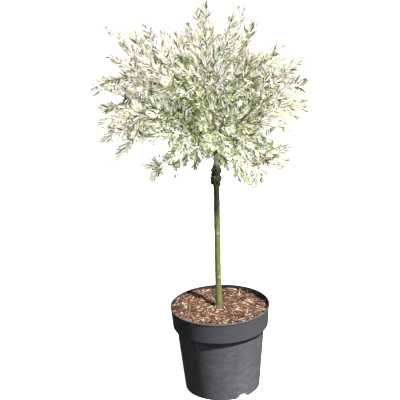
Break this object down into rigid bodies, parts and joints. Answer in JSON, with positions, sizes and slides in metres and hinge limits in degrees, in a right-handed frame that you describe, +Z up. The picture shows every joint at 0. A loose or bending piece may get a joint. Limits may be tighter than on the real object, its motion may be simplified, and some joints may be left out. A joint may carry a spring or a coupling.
{
  "type": "potted standard willow shrub",
  "caption": "small grafted standard tree with a round crown of variegated willow leaves on a clear stem, standing in a round nursery pot topped with bark mulch",
  "frame": {"origin": "centre of the pot's flat underside, on the pot's axis", "axes": "+Z up along the pot's axis, +X to the right and -Y towards the viewer as pictured"},
  "size_m": [0.5683, 0.5297, 1.1003],
  "materials": {
    "plastic": "matte",
    "compost": "matte",
    "bark_chip": "matte",
    "stem_bark": "matte",
    "bough_bark": "matte",
    "foliage": "matte"
  },
  "bodies": {
    "root": {"pot": "plastic", "compost": "compost", "bark_mulch": "bark_chip", "stem": "stem_bark", "leader_bough": "bough_bark", "left_bough": "bough_bark", "front_left_bough": "bough_bark", "front_right_bough": "bough_bark", "right_bough": "bough_bark", "back_right_bough": "bough_bark", "back_left_bough": "bough_bark", "lower_left_bough": "bough_bark", "lower_right_bough": "bough_bark", "lower_back_bough": "bough_bark", "front_bough": "bough_bark", "back_bough": "bough_bark", "top_left_bough": "bough_bark", "top_right_bough": "bough_bark", "top_back_bough": "bough_bark", "top_front_bough": "bough_bark", "leader_foliage": "foliage", "left_foliage": "foliage", "front_left_foliage": "foliage", "front_right_foliage": "foliage", "right_foliage": "foliage", "back_right_foliage": "foliage", "back_left_foliage": "foliage", "lower_left_foliage": "foliage", "lower_right_foliage": "foliage", "lower_back_foliage": "foliage", "front_foliage": "foliage", "back_foliage": "foliage", "top_left_foliage": "foliage", "top_right_foliage": "foliage", "top_back_foliage": "foliage", "top_front_foliage": "foliage"}
  },
  "joints": []
}
